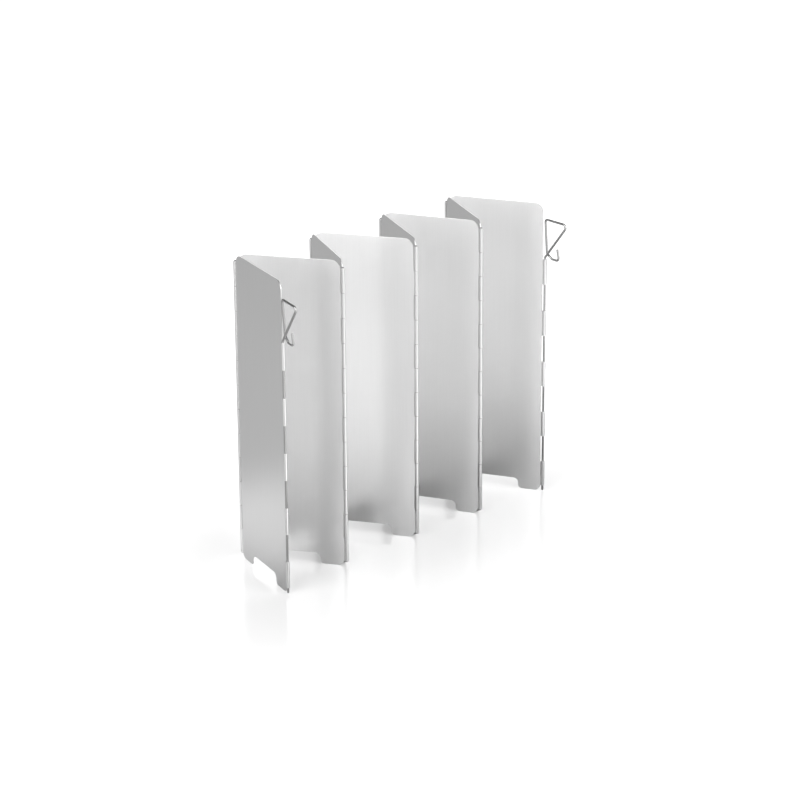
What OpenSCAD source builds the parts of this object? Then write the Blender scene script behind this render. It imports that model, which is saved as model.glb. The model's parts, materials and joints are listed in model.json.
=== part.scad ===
// Folding aluminium windscreen for a camp stove.
// Eight thin plates stand in a zigzag on wire-pinned hinges. Each free edge carries a wire
// stake with a triangular pull handle. Millimetres, +Z up, X along the row of plates.

/* [Plates] */
// Height of each plate
plate_h = 240; // [200:5:300]
// Distance between a plate's two hinge axes
hinge_pitch = 82; // [76:1:120]
// Thickness of the sheet
sheet_t = 0.5; // [0.4:0.05:0.8]
// Radius of the upper corners
top_corner_r = 7; // [4:0.5:10]
// Radius of the lower outer corners
foot_corner_r = 5; // [3:0.5:6]

/* [Vent cut-out] */
// Width of the cut-out under each plate
vent_w = 41; // [30:1:46]
// Height of the cut-out
vent_h = 8.4; // [7.6:0.2:14]
// Radius of the cut-out's upper corners
vent_corner_r = 4; // [2:0.5:4]
// Radius of the lip between cut-out and foot
vent_lip_r = 3.4; // [2:0.2:3.6]

/* [Hinges] */
// Diameter of the wire of pins and stakes
wire_d = 1.8; // [1.4:0.1:2.4]
// Running clearance round the wire, on the radius
wire_clearance = 0.06; // [0.02:0.01:0.1]
// Knuckle places along a hinge, shared by its two plates
hinge_places = 12; // [8:2:16]
// From the top edge down to the first knuckle
hinge_top_inset = 5.5; // [4:0.5:12]
// From the bottom edge up to the last knuckle
hinge_foot_inset = 3.5; // [2:0.5:8]
// Gap between neighbouring knuckles
knuckle_gap = 0.4; // [0.3:0.1:1]
// Angle that a knuckle is rolled round the wire
roll_angle = 330; // [310:5:340]
// Clearance between a knuckle and the sheet edge that faces it
edge_clearance = 0.44; // [0.35:0.01:1]
// How far a hinge pin stands out of its end knuckles
pin_overhang = 0.5; // [0.2:0.1:1.5]

/* [Stakes] */
// Places along a stake edge, knuckles and open gaps in turn
stake_places = 9; // [5:2:11]
// From the top edge down to the first stake knuckle
stake_top_inset = 45; // [42:1:60]
// From the bottom edge up to the last stake knuckle
stake_foot_inset = 4.5; // [3:0.5:8]
// Height of the stake's tip above the ground
stake_tip_z = 0.5; // [0.3:0.1:2]
// Length of the tip's chamfer
stake_tip_len = 0.6; // [0.2:0.1:2]
// Diameter of the tip's end
stake_tip_d = 0.9; // [0.6:0.1:1.2]

/* [Pull handles] */
// From the first stake knuckle up to the top bar
handle_h = 32.3; // [26:0.5:36]
// From the stake out to where top bar and sloping side meet
handle_reach = 25.5; // [22:0.5:30]
// Bend radius of the wire, on its centre line
bend_r = 2.5; // [2.2:0.1:2.6]
// Height of the stake's bend above the first knuckle
neck_z = 1.3; // [1.2:0.1:2]
// Straight wire below that bend, where the handle begins
neck_len = 0.2; // [0.1:0.02:0.2]
// Gap between the tail and the sloping side that it crosses
tail_gap = 0.2; // [0.1:0.1:0.6]
// Height at which the upright side turns into the tail
tail_z = 4.4; // [4:0.1:6]
// From the stake out to the tail's low run
tail_reach = 5.5; // [5:0.5:6]
// Height of the hook's low run above the first knuckle
hook_z = 0.7; // [0.6:0.1:1.4]
// From the stake out to the hook's outer corner
hook_reach = 14; // [13:0.5:16]
// Height of the hook's end
hook_top_z = 9.9; // [9:0.1:12]
// How far the hook's end leans back to the stake
hook_lean = 2.2; // [1:0.1:4]

/* [Setting up] */
// Angle between the plates at hinge 1
fold_1 = 49; // [40:0.5:70]
// Angle between the plates at hinge 2
fold_2 = 58; // [40:0.5:70]
// Angle between the plates at hinge 3
fold_3 = 56.5; // [40:0.5:70]
// Angle between the plates at hinge 4
fold_4 = 55.5; // [40:0.5:70]
// Angle between the plates at hinge 5
fold_5 = 50.5; // [40:0.5:70]
// Angle between the plates at hinge 6
fold_6 = 51.5; // [40:0.5:70]
// Angle between the plates at hinge 7
fold_7 = 52; // [40:0.5:70]
// Swing of the left handle from straight out of its plate
left_swing = 0; // [-60:5:60]
// Swing of the right handle from straight out of its plate
right_swing = -30; // [-60:5:60]

/* [Hidden] */
$fn = 48;
PLATES = 8;

sheet_colour = "#d2d3d5";
wire_colour = "#8f9194";

// Overlap of a knuckle's strap into the sheet, and of a cutter past an edge
root = 1.5;
cut_past = 1;
// Wire thins a little where it is bent, and its straight runs lap over the bends
bend_thinning = 0.01;
bend_lap = 0.05;

wire_r = wire_d / 2;
bore_r = wire_r + wire_clearance;
barrel_r = bore_r + sheet_t;
edge_setback = barrel_r + edge_clearance;

// The sheet runs into the wall of its two barrels, and the roll's end stops short of it
strap_start = bore_r + 0.4 * sheet_t;
mouth_start = 8;
mouth_reach = 3 * barrel_r;

// The barrels are nearly centred on the sheet: each axis lies in one face of it, the two axes
// in opposite faces, so that folded plates can lie face to face
roll_offset = sheet_t / 2;
sheet_len = sqrt(pow(hinge_pitch, 2) - pow(2 * roll_offset, 2));
sheet_skew = asin(2 * roll_offset / hinge_pitch);

hinge_top_z = plate_h - hinge_top_inset;
hinge_place_len = (hinge_top_z - hinge_foot_inset) / hinge_places;
stake_top_z = plate_h - stake_top_inset;
stake_place_len = (stake_top_z - stake_foot_inset) / stake_places;

// Plan of the zigzag: plate k runs from axis k-1 to axis k, hinge k lies on axis k
folds = [fold_1, fold_2, fold_3, fold_4, fold_5, fold_6, fold_7];
function zigzag_side(k) = k % 2 == 1 ? 1 : -1;
function raw_heading(k) = k == 1 ? 0 : raw_heading(k - 1) + zigzag_side(k) * (180 - folds[k - 2]);
function along(angle, distance) = distance * [cos(angle), sin(angle)];
function raw_axis(k) = k == 0 ? [0, 0] : raw_axis(k - 1) + along(raw_heading(k), hinge_pitch);

// The row is turned so that the two stakes stand in line along X
row_end = raw_axis(PLATES);
row_turn = -atan2(row_end[1], row_end[0]);
function heading(k) = raw_heading(k) + row_turn;
function turned_axis(k) = k == 0 ? [0, 0] : turned_axis(k - 1) + along(heading(k), hinge_pitch);
left_heading = heading(1) + 180 + left_swing;
right_heading = heading(PLATES) + right_swing;

// Handle's sloping side: its angle from upright, the seam below it and the outermost bend above
slope_angle = atan2(handle_reach, handle_h - neck_z);
seam_z = neck_z - neck_len - bend_r * tan(slope_angle / 2);
bend_back = bend_r / tan((90 - slope_angle) / 2);
handle_out = handle_reach - bend_back + bend_r;

// The origin is the centre of the whole screen's box, on the ground
axis_points = [for (k = [0:PLATES]) turned_axis(k)];
handle_points = [
    along(left_heading, handle_out),
    axis_points[PLATES] + along(right_heading, handle_out)];
function reaches(i, side) = concat(
    [for (p = axis_points) p[i] + side * barrel_r],
    [for (p = handle_points) p[i] + side * wire_r]);
function low(i) = min(reaches(i, -1));
function high(i) = max(reaches(i, 1));
row_centre = [low(0) + high(0), low(1) + high(1)] / 2;
function axis_at(k) = axis_points[k] - row_centre;

// Sheet work
module corner_cut(r) {
    difference() {
        translate([-cut_past, -cut_past])
            square(r + cut_past);
        translate([r, r])
            circle(r);
    }
}

module vent_half() {
    difference() {
        translate([-cut_past, -cut_past])
            square([vent_w / 2 + cut_past, vent_h + cut_past]);
        translate([vent_w / 2, vent_h])
            rotate(180)
                corner_cut(vent_corner_r);
    }
    translate([vent_w / 2, 0])
        corner_cut(vent_lip_r);
}

module outline_half() {
    difference() {
        translate([-cut_past, 0])
            square([sheet_len / 2 - edge_setback + cut_past, plate_h]);
        translate([sheet_len / 2 - edge_setback, plate_h])
            rotate(180)
                corner_cut(top_corner_r);
        translate([sheet_len / 2 - edge_setback, 0])
            mirror([1, 0])
                corner_cut(foot_corner_r);
        vent_half();
    }
}

module sheet() {
    translate([sheet_len / 2, sheet_t / 2, 0])
        rotate([90, 0, 0])
            linear_extrude(sheet_t) {
                outline_half();
                mirror([1, 0])
                    outline_half();
            }
}

// A strap that runs straight off the sheet and into a roll that doesn't quite close
module knuckle_profile() {
    translate([strap_start, -sheet_t / 2])
        square([edge_setback + root - strap_start, sheet_t]);
    translate([0, roll_offset])
        difference() {
            circle(barrel_r);
            circle(bore_r);
            polygon([
                [0, 0],
                along(mouth_start, mouth_reach),
                along(mouth_start + 360 - roll_angle, mouth_reach)]);
        }
}

module knuckle(z, len) {
    translate([0, 0, z])
        linear_extrude(len)
            knuckle_profile();
}

// Knuckles on every second place of an edge, counted down from its top
module knuckle_row(first, places, top_z, place_len) {
    for (place = [first:2:places])
        knuckle(top_z - place * place_len + knuckle_gap / 2, place_len - knuckle_gap);
}

module hinge_edge(first) {
    knuckle_row(first, hinge_places, hinge_top_z, hinge_place_len);
}

module stake_edge() {
    knuckle_row(1, stake_places, stake_top_z, stake_place_len);
}

module flipped(on) {
    if (on)
        mirror([0, 1, 0])
            children();
    else
        children();
}

module plate(k) {
    side = zigzag_side(k);
    color(sheet_colour)
        translate(axis_at(k - 1))
            rotate(heading(k) + side * sheet_skew)
                flipped(side < 0)
                    translate([0, -roll_offset, 0]) {
                        sheet();
                        if (k == 1)
                            stake_edge();
                        else
                            hinge_edge(1);
                        translate([sheet_len, 0, 0])
                            rotate(180)
                                if (k == PLATES)
                                    stake_edge();
                                else
                                    hinge_edge(2);
                    }
}

// Wire work
module hinge_pin(k) {
    low_z = hinge_foot_inset - pin_overhang;
    color(wire_colour)
        translate([each axis_at(k), low_z])
            cylinder(r = wire_r, h = hinge_top_z + pin_overhang - low_z);
}

module stake_shank(k) {
    color(wire_colour)
        translate([each axis_at(k), stake_tip_z]) {
            cylinder(d1 = stake_tip_d, d2 = wire_d, h = stake_tip_len);
            translate([0, 0, stake_tip_len])
                cylinder(r = wire_r, h = stake_top_z + seam_z - stake_tip_z - stake_tip_len);
        }
}

// Centre line of the handle as [out, aside, up] from the top of the first knuckle:
// up the sloping side, back along the top bar, down the upright side, then the hooked tail
tail_aside = wire_d + tail_gap;
handle_line = [
    [0, 0, seam_z],
    [0, 0, neck_z],
    [handle_reach, 0, handle_h],
    [0, 0, handle_h],
    [0, tail_aside, tail_z],
    [tail_reach, tail_aside, hook_z],
    [hook_reach, tail_aside, hook_z],
    [hook_reach - hook_lean, tail_aside, hook_top_z]];

function unit(v) = v / norm(v);
function run_dir(line, i) = unit(line[i + 1] - line[i]);
function bend_angle(line, i) = acos(run_dir(line, i - 1) * run_dir(line, i));
function bends(line, i) = i > 0 && i < len(line) - 1;
function bend_len(line, i) = bend_r * tan(bend_angle(line, i) / 2);
function run_trim(line, i) = bends(line, i) ? bend_len(line, i) - bend_lap : 0;
function columns(x, y, z, p) = [for (i = [0:2]) [x[i], y[i], z[i], p[i]]];

module straight_run(line, i) {
    dir = run_dir(line, i);
    start = line[i] + dir * run_trim(line, i);
    run_len = norm(line[i + 1] - line[i]) - run_trim(line, i) - run_trim(line, i + 1);
    across = unit(cross(dir, [0, 1, 0]));
    multmatrix(columns(across, cross(dir, across), dir, start))
        cylinder(r = wire_r, h = run_len);
}

module bend(line, i) {
    before = run_dir(line, i - 1);
    after = run_dir(line, i);
    inward = unit(after - before * (before * after));
    centre = line[i] - before * bend_len(line, i) + inward * bend_r;
    multmatrix(columns(-inward, before, cross(-inward, before), centre))
        rotate_extrude(angle = bend_angle(line, i))
            translate([bend_r, 0])
                circle(wire_r - bend_thinning);
}

module bent_wire(line) {
    for (i = [0:len(line) - 2])
        straight_run(line, i);
    for (i = [1:len(line) - 2])
        bend(line, i);
}

module stake_handle(k, angle) {
    color(wire_colour)
        translate([each axis_at(k), stake_top_z])
            rotate(angle)
                bent_wire(handle_line);
}

for (k = [1:PLATES])
    plate(k);
for (k = [1:PLATES - 1])
    hinge_pin(k);
stake_shank(0);  // stake_shank_left
stake_shank(PLATES);  // stake_shank_right
stake_handle(0, left_heading);  // stake_handle_left
stake_handle(PLATES, right_heading);  // stake_handle_right
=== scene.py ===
import json
from math import acos, asin, atan2, cos, degrees, pi, radians, sin, sqrt, tan
import bmesh
import bpy
from mathutils import Matrix, Vector

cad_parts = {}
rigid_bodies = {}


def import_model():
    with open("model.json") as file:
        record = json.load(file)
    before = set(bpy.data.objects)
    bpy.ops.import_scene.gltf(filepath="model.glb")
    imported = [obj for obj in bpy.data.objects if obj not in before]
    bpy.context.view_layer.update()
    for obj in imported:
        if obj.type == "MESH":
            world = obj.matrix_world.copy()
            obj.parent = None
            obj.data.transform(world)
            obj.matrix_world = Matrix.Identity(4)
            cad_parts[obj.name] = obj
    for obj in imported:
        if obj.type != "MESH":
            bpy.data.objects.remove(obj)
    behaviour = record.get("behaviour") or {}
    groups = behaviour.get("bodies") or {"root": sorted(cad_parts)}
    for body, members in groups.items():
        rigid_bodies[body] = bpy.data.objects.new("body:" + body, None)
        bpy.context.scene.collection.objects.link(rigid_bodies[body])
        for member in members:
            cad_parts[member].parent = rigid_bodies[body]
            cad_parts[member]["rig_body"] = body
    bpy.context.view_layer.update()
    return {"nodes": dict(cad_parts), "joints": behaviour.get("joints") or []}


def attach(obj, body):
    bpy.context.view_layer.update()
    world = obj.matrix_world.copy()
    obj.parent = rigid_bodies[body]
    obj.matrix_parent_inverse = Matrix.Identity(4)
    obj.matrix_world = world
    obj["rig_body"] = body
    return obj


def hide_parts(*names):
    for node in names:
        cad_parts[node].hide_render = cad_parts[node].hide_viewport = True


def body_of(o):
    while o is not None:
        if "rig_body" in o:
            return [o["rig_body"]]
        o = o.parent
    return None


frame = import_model()
nodes = frame["nodes"]
joints = {j["name"]: j for j in frame["joints"]}
scene = bpy.context.scene
mm = 0.001


def linear(code):
    shades = [int(code[i:i + 2], 16) / 255 for i in (1, 3, 5)]
    return [s / 12.92 if s <= 0.04045 else ((s + 0.055) / 1.055) ** 2.4 for s in shades] + [1.0]


def addNode(tree, kind, links=None, values=None, **settings):
    node = tree.nodes.new(kind)
    for name, value in settings.items():
        setattr(node, name, value)
    for socket, value in (values or {}).items():
        node.inputs[socket].default_value = value
    for socket, source in (links or {}).items():
        tree.links.new(source, node.inputs[socket])
    return node


def newMaterial(name):
    material = bpy.data.materials.new(name)
    material.use_nodes = True
    tree = material.node_tree
    tree.nodes.clear()
    return material, tree


def newShapeTree(name, sizes):
    tree = bpy.data.node_groups.new(name, "GeometryNodeTree")
    tree.interface.new_socket("Geometry", in_out="INPUT", socket_type="NodeSocketGeometry")
    for label, kind in sizes.items():
        tree.interface.new_socket(label, in_out="INPUT", socket_type=kind)
    tree.interface.new_socket("Geometry", in_out="OUTPUT", socket_type="NodeSocketGeometry")
    return tree, addNode(tree, "NodeGroupInput").outputs


def endShapeTree(tree, shape, finish):
    shape = addNode(tree, "GeometryNodeRealizeInstances", {"Geometry": shape})
    shape = addNode(tree, "GeometryNodeSetMaterial", {"Geometry": shape.outputs[0], "Material": finish})
    addNode(tree, "NodeGroupOutput", {0: shape.outputs[0]})


def useShapeTree(piece, tree, sizes):
    modifier = piece.modifiers.new(tree.name, "NODES")
    modifier.node_group = tree
    for item in tree.interface.items_tree:
        if item.in_out == "INPUT" and item.name in sizes:
            modifier[item.identifier] = sizes[item.name]


def newPiece(name, mesh):
    piece = bpy.data.objects.new(name, mesh)
    scene.collection.objects.link(piece)
    return piece


def fixShape(piece, smoothBelow):
    graph = bpy.context.evaluated_depsgraph_get()
    made = bpy.data.meshes.new_from_object(piece.evaluated_get(graph), preserve_all_data_layers=True,
                                           depsgraph=graph)
    piece.modifiers.clear()
    draft, piece.data = piece.data, made
    bpy.data.meshes.remove(draft)
    made.name = piece.name
    work = bmesh.new()
    work.from_mesh(made)
    bmesh.ops.recalc_face_normals(work, faces=work.faces)
    for face in work.faces:
        face.smooth = True
    for edge in work.edges:
        edge.smooth = edge.calc_face_angle(0) < radians(smoothBelow)
    work.to_mesh(made)
    work.free()


def standFor(piece, node):
    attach(piece, body_of(nodes[node])[0])
    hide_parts(node)


# camera, from the hinge lines and plate corners in the picture
view = dict(azimuth=-46.36, elevation=19.23, roll=-0.357, lens=123.96, sensor=36.0, clipStart=0.05,
            place=(-1.43803, -1.38135, 0.80418))


def makeCamera():
    data = bpy.data.cameras.new("camera")
    data.sensor_width = view["sensor"]
    data.lens = view["lens"]
    data.clip_start = view["clipStart"]
    camera = bpy.data.objects.new("camera", data)
    scene.collection.objects.link(camera)
    turn = Matrix.Rotation(radians(view["azimuth"]), 4, "Z")
    tilt = Matrix.Rotation(radians(90 - view["elevation"]), 4, "X")
    roll = Matrix.Rotation(radians(view["roll"]), 4, "Z")
    camera.matrix_world = Matrix.Translation(view["place"]) @ turn @ tilt @ roll
    scene.camera = camera


makeCamera()
print("camera set")

noiseSpan = (0.3, 0.7)  # most of a noise pattern's values lie between these


def mixColours(tree, factor, first, second):
    mix = addNode(tree, "ShaderNodeMix", {"Factor": factor}, data_type="RGBA")
    mix.inputs["A"].default_value = linear(first)
    mix.inputs["B"].default_value = linear(second)
    return mix.outputs["Result"]


def bareMetal(tree, s, lines, wear, depth):
    rough = addNode(tree, "ShaderNodeMapRange", {"Value": wear},
                    {"From Min": noiseSpan[0], "From Max": noiseSpan[1],
                     "To Min": s["roughness"] - s["roughnessSpread"],
                     "To Max": s["roughness"] + s["roughnessSpread"]})
    bump = addNode(tree, "ShaderNodeBump", {"Height": lines}, {"Strength": 1.0, "Distance": depth})
    metal = addNode(tree, "ShaderNodeBsdfPrincipled",
                    {"Base Color": mixColours(tree, lines, s["colour"], s["dull"]),
                     "Roughness": rough.outputs[0], "Normal": bump.outputs[0]}, {"Metallic": 1.0})
    addNode(tree, "ShaderNodeOutputMaterial", {"Surface": metal.outputs[0]})


# aluminium sheet, cold rolled and left satin: soft pale reflections, and a fine upright roll grain
# that is drawn coarser than the real 0.1 mm so that it shows in a close view
sheetFinish = dict(colour="#f1f1f1", dull="#ebebeb", roughness=0.31, roughnessSpread=0.025,
                   grainWidth=0.9 * mm, grainLength=60 * mm, grainDepth=0.0004 * mm,
                   grainDetail=3.0, grainBreakUp=0.6,
                   smudgeSize=55 * mm, smudgeDetail=4.0, smudgeBreakUp=0.55)


def rolledAluminium():
    s = sheetFinish
    material, tree = newMaterial("rolledSatinAluminium")
    place = addNode(tree, "ShaderNodeTexCoord").outputs["Object"]
    across, upright = 1 / s["grainWidth"], 1 / s["grainLength"]
    grainAt = addNode(tree, "ShaderNodeMapping", {"Vector": place}, {"Scale": (across, across, upright)})
    grain = addNode(tree, "ShaderNodeTexNoise", {"Vector": grainAt.outputs[0]},
                    {"Scale": 1.0, "Detail": s["grainDetail"], "Roughness": s["grainBreakUp"]})
    smudge = addNode(tree, "ShaderNodeTexNoise", {"Vector": place},
                     {"Scale": 1 / s["smudgeSize"], "Detail": s["smudgeDetail"],
                      "Roughness": s["smudgeBreakUp"]})
    bareMetal(tree, s, grain.outputs["Fac"], smudge.outputs["Fac"], s["grainDepth"])
    return material


# steel wire, drawn through a die and left bright: darker than the sheet, with lines along the wire
# that follow its bends and are drawn coarser than the real 0.05 mm
wireFinish = dict(colour="#cacaca", dull="#b2b2b2", roughness=0.33, roughnessSpread=0.04,
                  lineWidth=0.25 * mm, lineLength=12 * mm, lineDepth=0.003 * mm, lineDetail=3.0)


def drawnSteel():
    s = wireFinish
    material, tree = newMaterial("drawnSteelWire")
    lay = addNode(tree, "ShaderNodeAttribute", attribute_name="wireLay")
    across, lengthways = 1 / s["lineWidth"], 1 / s["lineLength"]
    lineAt = addNode(tree, "ShaderNodeMapping", {"Vector": lay.outputs["Vector"]},
                     {"Scale": (across, across, lengthways)})
    line = addNode(tree, "ShaderNodeTexNoise", {"Vector": lineAt.outputs[0]},
                   {"Scale": 1.0, "Detail": s["lineDetail"]})
    bareMetal(tree, s, line.outputs["Fac"], line.outputs["Fac"], s["lineDepth"])
    return material


aluminium = rolledAluminium()
steel = drawnSteel()
print("materials made")

# where the wires stand: a stake at each end of the row, a hinge pin between each two plates
plateCount = 8
axes = [Vector(joints["left_handle_turn"]["pos_m"])]
axes += [Vector(joints[f"hinge_{k}_fold"]["pos_m"]) for k in range(1, plateCount)]
axes += [Vector(joints["right_handle_turn"]["pos_m"])]
for axis in axes:
    axis.z = 0
headings = [atan2((b - a).y, (b - a).x) for a, b in zip(axes, axes[1:])]

# plates: one flat blank each, cut with tabs that are then rolled round the wires as knuckles
plateBlank = dict(height=240 * mm, pitch=82 * mm, thickness=0.5 * mm, topCorner=7 * mm, footCorner=5 * mm,
                  ventWidth=41 * mm, ventHeight=8.4 * mm, ventCorner=4 * mm, ventLip=3.4 * mm,
                  cornerSteps=12, edgeBevel=0.08 * mm, bevelSteps=2, bevelAbove=40, smoothBelow=15)
knuckles = dict(bore=0.96 * mm, axisOffset=0.25 * mm, setback=1.9 * mm, gap=0.4 * mm,
                bendRadius=0.5 * mm, bendSteps=6, mouthEnd=38, rollSteps=30,
                hinge=dict(places=12, top=234.5 * mm, foot=3.5 * mm),
                stake=dict(places=9, top=195 * mm, foot=4.5 * mm))
sheetLength = sqrt(plateBlank["pitch"] ** 2 - (2 * knuckles["axisOffset"]) ** 2)
sheetSkew = asin(2 * knuckles["axisOffset"] / plateBlank["pitch"])

# a tab bends off the sheet's plane until it meets the roll, then goes round to just above the sheet
rollRadius = knuckles["bore"] + plateBlank["thickness"] / 2
bendTurn = acos((knuckles["axisOffset"] + knuckles["bendRadius"]) / (rollRadius + knuckles["bendRadius"]))
bendRun = knuckles["bendRadius"] * bendTurn
strapEnd = (rollRadius + knuckles["bendRadius"]) * sin(bendTurn)
rollRun = rollRadius * (2 * pi - radians(knuckles["mouthEnd"]) - (pi / 2 - bendTurn))


def tabRanges(edge, first):
    s = knuckles[edge]
    step = (s["top"] - s["foot"]) / s["places"]
    tabs = [(s["top"] - p * step + knuckles["gap"] / 2, s["top"] - (p - 1) * step - knuckles["gap"] / 2)
            for p in range(first, s["places"] + 1, 2)]
    return sorted(tabs)


def arc(centre, radius, start, end, steps):
    turns = [radians(start + (end - start) * i / steps) for i in range(steps + 1)]
    return [(centre[0] + radius * cos(a), centre[1] + radius * sin(a)) for a in turns]


def halfOutline(tabs):
    s = plateBlank
    half, reach = sheetLength / 2 - knuckles["setback"], sheetLength / 2 - strapEnd
    foot, top, height, steps = s["footCorner"], s["topCorner"], s["height"], s["cornerSteps"]
    mouth = s["ventWidth"] / 2

    def edgeAt(z):  # the upright edge's place at a height, round its two corners
        if z < foot:
            return half - foot + sqrt(foot ** 2 - (foot - z) ** 2)
        if z > height - top:
            return half - top + sqrt(top ** 2 - (z - height + top) ** 2)
        return half

    line = arc((mouth - s["ventCorner"], s["ventHeight"] - s["ventCorner"]), s["ventCorner"], 90, 0, steps)
    line += arc((mouth + s["ventLip"], s["ventLip"]), s["ventLip"], 180, 270, steps)
    upright = arc((half - foot, foot), foot, -90, 0, steps)
    upright += arc((half - top, height - top), top, 0, 90, steps)
    marks = [(z, [(x, z)]) for x, z in upright if not any(a <= z <= b for a, b in tabs)]
    marks += [(a, [(edgeAt(a), a), (reach, a), (reach, b), (edgeAt(b), b)]) for a, b in tabs]
    for mark in sorted(marks, key=lambda m: m[0]):
        line += mark[1]
    return line


def cornerKey(x, z):  # finds a corner again, to a ten-thousandth of a millimetre
    return round(x, 7), round(z, 7)


def cutBlank(name, leftTabs, rightTabs):
    right = halfOutline(rightTabs)
    left = [(-x, z) for x, z in reversed(halfOutline(leftTabs))]
    work = bmesh.new()
    run = work.verts.layers.float.new("tabRun")
    side = work.verts.layers.float.new("tabSide")
    corners = {}
    for x, z in right + left:
        corners[cornerKey(x, z)] = work.verts.new((sheetLength / 2 + x, 0, z))
    work.faces.new([corners[cornerKey(x, z)] for x, z in right + left])
    bends, rolls = knuckles["bendSteps"], knuckles["rollSteps"]
    columns = [bendRun * i / bends for i in range(1, bends + 1)]
    columns += [bendRun + rollRun * i / rolls for i in range(1, rolls + 1)]
    edge = sheetLength / 2 - strapEnd
    for way, tabs in ((-1, leftTabs), (1, rightTabs)):
        for low, high in tabs:
            before = [corners[cornerKey(way * edge, z)] for z in (low, high)]
            for reach in columns:
                x = sheetLength / 2 + way * (edge + reach)
                after = [work.verts.new((x, 0, z)) for z in (low, high)]
                for v in after:
                    v[run], v[side] = reach, way
                work.faces.new([before[0], after[0], after[1], before[1]][::way])
                before = after
    mesh = bpy.data.meshes.new(name)
    work.to_mesh(mesh)
    work.free()
    return mesh


def knuckleTree():
    sizes = ("Strap End", "Bend Radius", "Bend Turn", "Bend Run",
             "Roll Radius", "Axis Offset", "Half Length", "Roll Side")
    tree, given = newShapeTree("rollKnuckles", {**{size: "NodeSocketFloat" for size in sizes},
                                                "Finish": "NodeSocketMaterial"})
    run = addNode(tree, "GeometryNodeInputNamedAttribute", None, {"Name": "tabRun"}, data_type="FLOAT")
    side = addNode(tree, "GeometryNodeInputNamedAttribute", None, {"Name": "tabSide"}, data_type="FLOAT")
    onTab = addNode(tree, "FunctionNodeCompare", {"A": run.outputs[0]}, {"B": 0.0},
                    data_type="FLOAT", operation="GREATER_THAN")
    place = addNode(tree, "GeometryNodeInputPosition")
    height = addNode(tree, "ShaderNodeSeparateXYZ", {0: place.outputs[0]})
    start = addNode(tree, "ShaderNodeCombineXYZ", {0: given["Strap End"], 2: height.outputs[2]})

    part = addNode(tree, "ShaderNodeMath", {0: run.outputs[0], 1: given["Bend Radius"]}, operation="DIVIDE")
    turn = addNode(tree, "ShaderNodeMath", {0: part.outputs[0], 1: given["Bend Turn"]}, operation="MINIMUM")
    below = addNode(tree, "ShaderNodeMath", {0: given["Bend Radius"]}, {1: -1.0}, operation="MULTIPLY")
    centre = addNode(tree, "ShaderNodeCombineXYZ", {0: given["Strap End"], 1: below.outputs[0]})
    bent = addNode(tree, "ShaderNodeVectorRotate",
                   {"Vector": start.outputs[0], "Center": centre.outputs[0], "Angle": turn.outputs[0]},
                   rotation_type="Z_AXIS")

    past = addNode(tree, "ShaderNodeMath", {0: run.outputs[0], 1: given["Bend Run"]}, operation="SUBTRACT")
    part = addNode(tree, "ShaderNodeMath", {0: past.outputs[0], 1: given["Roll Radius"]}, operation="DIVIDE")
    turn = addNode(tree, "ShaderNodeMath", {0: part.outputs[0]}, {1: 0.0}, operation="MAXIMUM")
    centre = addNode(tree, "ShaderNodeCombineXYZ", {1: given["Axis Offset"]})
    rolled = addNode(tree, "ShaderNodeVectorRotate",
                     {"Vector": bent.outputs[0], "Center": centre.outputs[0], "Angle": turn.outputs[0]},
                     rotation_type="Z_AXIS", invert=True)

    # the second edge is the first one turned about the middle of the sheet
    about = addNode(tree, "ShaderNodeMapRange", {"Value": side.outputs[0]},
                    {"From Min": -1.0, "From Max": 1.0, "To Min": 0.0, "To Max": pi})
    centre = addNode(tree, "ShaderNodeCombineXYZ", {0: given["Half Length"]})
    turned = addNode(tree, "ShaderNodeVectorRotate",
                     {"Vector": rolled.outputs[0], "Center": centre.outputs[0], "Angle": about.outputs[0]},
                     rotation_type="Z_AXIS")
    face = addNode(tree, "ShaderNodeCombineXYZ", {1: given["Roll Side"]}, {0: 1.0, 2: 1.0})
    goal = addNode(tree, "ShaderNodeVectorMath", {0: turned.outputs[0], 1: face.outputs[0]},
                   operation="MULTIPLY")
    moved = addNode(tree, "GeometryNodeSetPosition",
                    {"Geometry": given["Geometry"], "Selection": onTab.outputs[0],
                     "Position": goal.outputs[0]})
    endShapeTree(tree, moved.outputs[0], given["Finish"])
    return tree


def makePlates():
    s = plateBlank
    tree = knuckleTree()
    shape = {"Strap End": strapEnd, "Bend Radius": knuckles["bendRadius"], "Bend Turn": bendTurn,
             "Bend Run": bendRun, "Roll Radius": rollRadius, "Axis Offset": knuckles["axisOffset"],
             "Half Length": sheetLength / 2, "Finish": aluminium}
    for k in range(1, plateCount + 1):
        leftTabs = tabRanges("stake", 1) if k == 1 else tabRanges("hinge", 1)
        rightTabs = tabRanges("stake", 1) if k == plateCount else tabRanges("hinge", 2)
        piece = newPiece(f"rolledPlate{k}", cutBlank(f"blank{k}", leftTabs, rightTabs))
        side = 1 if k % 2 else -1
        useShapeTree(piece, tree, {**shape, "Roll Side": float(side)})
        wall = piece.modifiers.new("sheetThickness", "SOLIDIFY")
        wall.thickness = s["thickness"]
        wall.offset = 0
        wall.use_even_offset = True
        edge = piece.modifiers.new("shearedEdge", "BEVEL")
        edge.width = s["edgeBevel"]
        edge.segments = s["bevelSteps"]
        edge.limit_method = "ANGLE"
        edge.angle_limit = radians(s["bevelAbove"])
        fixShape(piece, s["smoothBelow"])
        turn = Matrix.Rotation(headings[k - 1] + side * sheetSkew, 4, "Z")
        shift = Matrix.Translation((0, -side * knuckles["axisOffset"], 0))
        piece.data.transform(Matrix.Translation(axes[k - 1]) @ turn @ shift)
        standFor(piece, f"plate_{k}")


makePlates()
print("plates cut and rolled")

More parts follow.
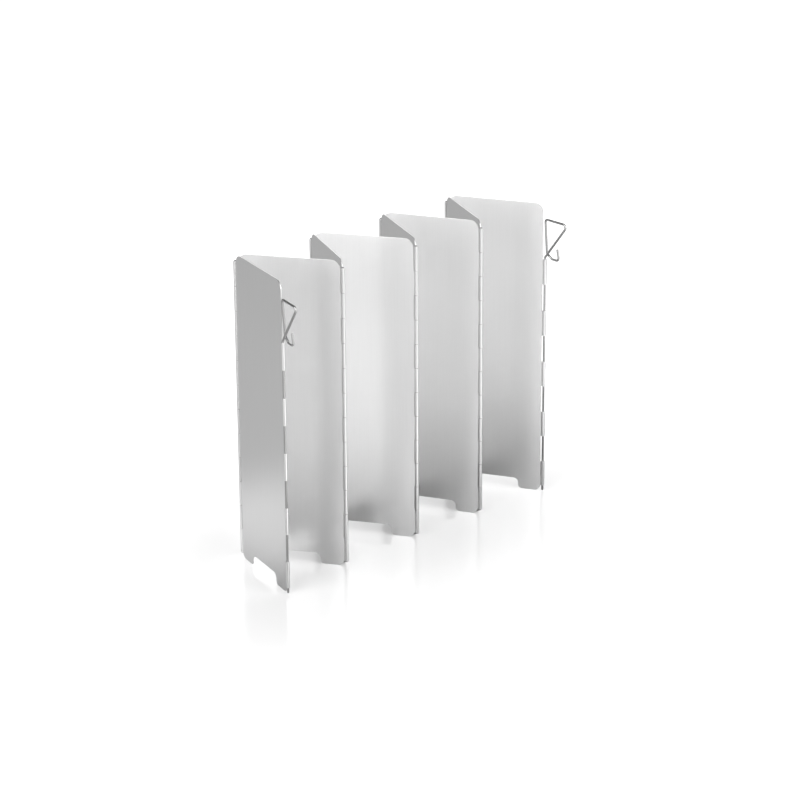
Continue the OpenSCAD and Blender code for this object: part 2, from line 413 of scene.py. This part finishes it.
# wires: straight hinge pins, and a stake at each end with a bent pull handle
wire = dict(radius=0.9 * mm, sides=20, bendRadius=2.5 * mm, bendSteps=10, endChamfer=0.2 * mm, endShare=0.72,
            pinFoot=3.0 * mm, pinTop=235.0 * mm, tipZ=0.5 * mm, tipLength=0.6 * mm, tipShare=0.5,
            seamGap=0.02 * mm, mergeBelow=0.001 * mm, smoothBelow=40)
handle = dict(base=195 * mm, rise=32.3 * mm, reach=25.5 * mm, neck=1.3 * mm, neckLength=0.2 * mm,
              aside=2.0 * mm, tailZ=4.4 * mm, tailReach=5.5 * mm, hookZ=0.7 * mm, hookReach=14 * mm,
              hookTop=9.9 * mm, hookLean=2.2 * mm, leftSwing=0, rightSwing=-30)


def wireTree():
    tree, given = newShapeTree("drawWire", {
        "Wire Radius": "NodeSocketFloat", "Wire Sides": "NodeSocketInt", "Bend Radius": "NodeSocketFloat",
        "Bend Steps": "NodeSocketInt", "Finish": "NodeSocketMaterial"})
    path = addNode(tree, "GeometryNodeMeshToCurve", {0: given["Geometry"]})
    bent = addNode(tree, "GeometryNodeFilletCurve",
                   {"Curve": path.outputs[0], "Count": given["Bend Steps"], "Radius": given["Bend Radius"]},
                   {"Limit Radius": True}, mode="POLY")
    run = addNode(tree, "GeometryNodeSplineParameter")
    kept = addNode(tree, "GeometryNodeCaptureAttribute", {0: bent.outputs[0]}, domain="POINT")
    kept.capture_items.new("FLOAT", "run")
    tree.links.new(run.outputs["Length"], kept.inputs[1])
    ring = addNode(tree, "GeometryNodeCurvePrimitiveCircle",
                   {"Resolution": given["Wire Sides"], "Radius": given["Wire Radius"]})
    place = addNode(tree, "GeometryNodeInputPosition")
    rim = addNode(tree, "GeometryNodeCaptureAttribute", {0: ring.outputs[0]}, domain="POINT")
    rim.capture_items.new("VECTOR", "rim")
    tree.links.new(place.outputs[0], rim.inputs[1])
    share = addNode(tree, "GeometryNodeInputNamedAttribute", None, {"Name": "wireShare"}, data_type="FLOAT")
    body = addNode(tree, "GeometryNodeCurveToMesh",
                   {"Curve": kept.outputs[0], "Profile Curve": rim.outputs[0], "Scale": share.outputs[0]},
                   {"Fill Caps": True})
    body = addNode(tree, "GeometryNodeMergeByDistance", {"Geometry": body.outputs[0]},
                   {"Distance": wire["mergeBelow"]})
    rimAt = addNode(tree, "ShaderNodeSeparateXYZ", {0: rim.outputs[1]})
    lay = addNode(tree, "ShaderNodeCombineXYZ",
                  {0: rimAt.outputs[0], 1: rimAt.outputs[1], 2: kept.outputs[1]})
    laid = addNode(tree, "GeometryNodeStoreNamedAttribute", {"Geometry": body.outputs[0]},
                   {"Name": "wireLay"}, data_type="FLOAT_VECTOR", domain="POINT")
    tree.links.new(lay.outputs[0], laid.inputs["Value"])
    endShapeTree(tree, laid.outputs[0], given["Finish"])
    return tree


def wirePath(name, points, shares):
    work = bmesh.new()
    share = work.verts.layers.float.new("wireShare")
    verts = [work.verts.new(p) for p in points]
    for v, part in zip(verts, shares):
        v[share] = part
    for a, b in zip(verts, verts[1:]):
        work.edges.new((a, b))
    mesh = bpy.data.meshes.new(name)
    work.to_mesh(mesh)
    work.free()
    return mesh


def handleLine():
    h = handle
    slope = atan2(h["reach"], h["rise"] - h["neck"])
    seam = h["neck"] - h["neckLength"] - wire["bendRadius"] * tan(slope / 2)
    line = [(0, 0, seam), (0, 0, h["neck"]), (h["reach"], 0, h["rise"]), (0, 0, h["rise"]),
            (0, h["aside"], h["tailZ"]), (h["tailReach"], h["aside"], h["hookZ"]),
            (h["hookReach"], h["aside"], h["hookZ"]),
            (h["hookReach"] - h["hookLean"], h["aside"], h["hookTop"])]
    return seam, [Vector(p) for p in line]


def makeWires():
    w = wire
    tree = wireTree()
    shape = {"Wire Radius": w["radius"], "Wire Sides": w["sides"], "Bend Radius": w["bendRadius"],
             "Bend Steps": w["bendSteps"], "Finish": steel}
    seam, line = handleLine()
    cut = line[-1] + (line[-2] - line[-1]).normalized() * w["endChamfer"]
    handleShares = [1] * len(line) + [w["endShare"]]
    pinZ = (w["pinFoot"], w["pinFoot"] + w["endChamfer"], w["pinTop"] - w["endChamfer"], w["pinTop"])
    pinShares = [w["endShare"], 1, 1, w["endShare"]]
    shankZ = (w["tipZ"], w["tipZ"] + w["tipLength"], handle["base"] + seam - w["seamGap"])
    shankShares = [w["tipShare"], 1, 1]
    runs = {}
    for k in range(1, plateCount):
        runs[f"hinge_pin_{k}"] = (f"pinWire{k}", [axes[k] + Vector((0, 0, z)) for z in pinZ], pinShares)
    ends = dict(left=(axes[0], degrees(headings[0]) + 180 + handle["leftSwing"]),
                right=(axes[-1], degrees(headings[-1]) + handle["rightSwing"]))
    for end, (axis, swing) in ends.items():
        runs[f"stake_shank_{end}"] = (f"{end}ShankWire", [axis + Vector((0, 0, z)) for z in shankZ],
                                      shankShares)
        base = Matrix.Translation(axis + Vector((0, 0, handle["base"])))
        spot = base @ Matrix.Rotation(radians(swing), 4, "Z")
        runs[f"stake_handle_{end}"] = (f"{end}HandleWire", [spot @ p for p in line[:-1] + [cut, line[-1]]],
                                       handleShares)
    for node, (name, points, shares) in runs.items():
        piece = newPiece(name, wirePath(name, points, shares))
        useShapeTree(piece, tree, shape)
        fixShape(piece, w["smoothBelow"])
        standFor(piece, node)


makeWires()
print("wires drawn and bent")

# floor: polished pale acrylic. Where it is seen it is paler and lifted to white, least along the row of feet,
# where it stays greyer: partly its real shadow, partly painted shade;
# where the part mirrors it, it is painted grey close to the part (painted shade in its reflections) and paler
# in soft pools of painted light round about
# colour is the grey that the metal mirrors, darker than seenColour: painted shade in the reflections;
# nearLift is the smaller lift along the row of feet, partly painted shade
floorLook = dict(size=9.0, colour="#969696", seenColour="#c4c4c4", roughness=0.16, ior=1.49,
                 nearLift=0.3, farLift=1.0, seenFrom=(-0.02, -0.05, 0), seenStretch=(1.8, 1, 1),
                 seenFade=(0.0, 0.33))
# pools of painted light on the floor, seen only where the metal mirrors it
paintedLightPools = dict(
    front=dict(place=(0, -3, 0), full=2.75, none=2.93, lift=0.56),
    back=dict(place=(0, 3, 0), full=2.7, none=2.95, lift=0.32),
    leftBack=dict(place=(-0.16, 0.115, 0), full=0.03, none=0.16, lift=0.52),
    leftFront=dict(place=(-0.1, -0.2, 0), full=0.05, none=0.25, lift=0.34),
)


def fadeAcross(tree, distance, near, far, nearLevel, farLevel):
    fade = addNode(tree, "ShaderNodeMapRange", {"Value": distance},
                   {"From Min": near, "From Max": far, "To Min": nearLevel, "To Max": farLevel},
                   interpolation_type="SMOOTHSTEP")
    return fade.outputs[0]


def makeFloor():
    s = floorLook
    mesh = bpy.data.meshes.new("floor")
    half = s["size"] / 2
    corners = [(-half, -half, 0), (half, -half, 0), (half, half, 0), (-half, half, 0)]
    mesh.from_pydata(corners, [], [(0, 1, 2, 3)])
    floor = newPiece("floor", mesh)
    material, tree = newMaterial("acrylicWithPaintedLightAndShade")
    ray = addNode(tree, "ShaderNodeLightPath").outputs
    # the metal mirrors the darker grey and the camera sees the paler one: painted shade in the floor's
    # reflections
    colour = mixColours(tree, ray["Is Camera Ray"], s["colour"], s["seenColour"])
    acrylic = addNode(tree, "ShaderNodeBsdfPrincipled", {"Base Color": colour},
                      {"Roughness": s["roughness"], "IOR": s["ior"]})
    place = addNode(tree, "ShaderNodeTexCoord").outputs["Object"]
    around = addNode(tree, "ShaderNodeMapping", {"Vector": place},
                     {"Location": s["seenFrom"], "Scale": s["seenStretch"]}, vector_type="TEXTURE")
    away = addNode(tree, "ShaderNodeVectorMath", {0: around.outputs[0]}, operation="LENGTH")
    # the camera's lift to white is least near the row of feet, so the floor stays greyer there: partly real
    # shadow, partly painted shade
    fade = fadeAcross(tree, away.outputs["Value"], *s["seenFade"], s["nearLift"], s["farLift"])
    lift = addNode(tree, "ShaderNodeMath", {0: ray["Is Camera Ray"], 1: fade}, operation="MULTIPLY")
    mirrored = addNode(tree, "ShaderNodeMath", {0: ray["Is Glossy Ray"], 1: ray["Is Transmission Ray"]},
                       operation="MAXIMUM")
    # pools of painted light, added only where the metal mirrors the floor
    for pool in paintedLightPools.values():
        away = addNode(tree, "ShaderNodeVectorMath", {0: place}, {1: pool["place"]}, operation="DISTANCE")
        fade = fadeAcross(tree, away.outputs["Value"], pool["full"], pool["none"], pool["lift"], 0.0)
        lift = addNode(tree, "ShaderNodeMath", {0: mirrored.outputs[0], 1: fade, 2: lift.outputs[0]},
                       operation="MULTIPLY_ADD")
    # this emission carries the lift to white and the pools of painted light
    white = addNode(tree, "ShaderNodeEmission", {"Strength": lift.outputs[0]}, {"Color": (1, 1, 1, 1)})
    both = addNode(tree, "ShaderNodeAddShader", {0: acrylic.outputs[0], 1: white.outputs[0]})
    addNode(tree, "ShaderNodeOutputMaterial", {"Surface": both.outputs[0]})
    mesh.materials.append(material)


makeFloor()
print("floor laid")

# studio: a dim room that is white where the camera sees it, and large soft boxes
room = dict(colour="#ffffff", strength=0.08)
softBoxes = dict(
    left=dict(azimuth=-90, elevation=45, distance=1.8, width=1.3, height=1.3, power=19.5),
    leftLow=dict(azimuth=-90, elevation=14, distance=1.8, width=1.2, height=0.8, power=8.6),
    front=dict(azimuth=5, elevation=14, distance=1.8, width=1.6, height=0.8, power=6.8),
    frontMid=dict(azimuth=15, elevation=28, distance=1.8, width=1.3, height=0.9, power=12.1),
    frontHigh=dict(azimuth=0, elevation=45, distance=1.8, width=1.3, height=1.3, power=7.4),
    back=dict(azimuth=120, elevation=30, distance=1.8, width=1.3, height=1.0, power=5.5),
)


def makeLights():
    world = bpy.data.worlds.new("room")
    world.use_nodes = True
    scene.world = world
    tree = world.node_tree
    tree.nodes.clear()
    dim = addNode(tree, "ShaderNodeBackground", None,
                  {"Color": linear(room["colour"]), "Strength": room["strength"]})
    white = addNode(tree, "ShaderNodeBackground", None, {"Color": (1, 1, 1, 1), "Strength": 1.0})
    ray = addNode(tree, "ShaderNodeLightPath").outputs
    sky = addNode(tree, "ShaderNodeMixShader",
                  {0: ray["Is Camera Ray"], 1: dim.outputs[0], 2: white.outputs[0]})
    addNode(tree, "ShaderNodeOutputWorld", {"Surface": sky.outputs[0]})
    for name, s in softBoxes.items():
        data = bpy.data.lights.new(name, "AREA")
        data.shape = "RECTANGLE"
        data.size = s["width"]
        data.size_y = s["height"]
        data.energy = s["power"]
        box = bpy.data.objects.new(name, data)
        scene.collection.objects.link(box)
        turn = Matrix.Rotation(radians(s["azimuth"]), 4, "Z")
        tilt = Matrix.Rotation(radians(90 - s["elevation"]), 4, "X")
        box.matrix_world = turn @ tilt @ Matrix.Translation((0, 0, s["distance"]))


makeLights()
scene.view_settings.view_transform = "Standard"
print("studio lit")
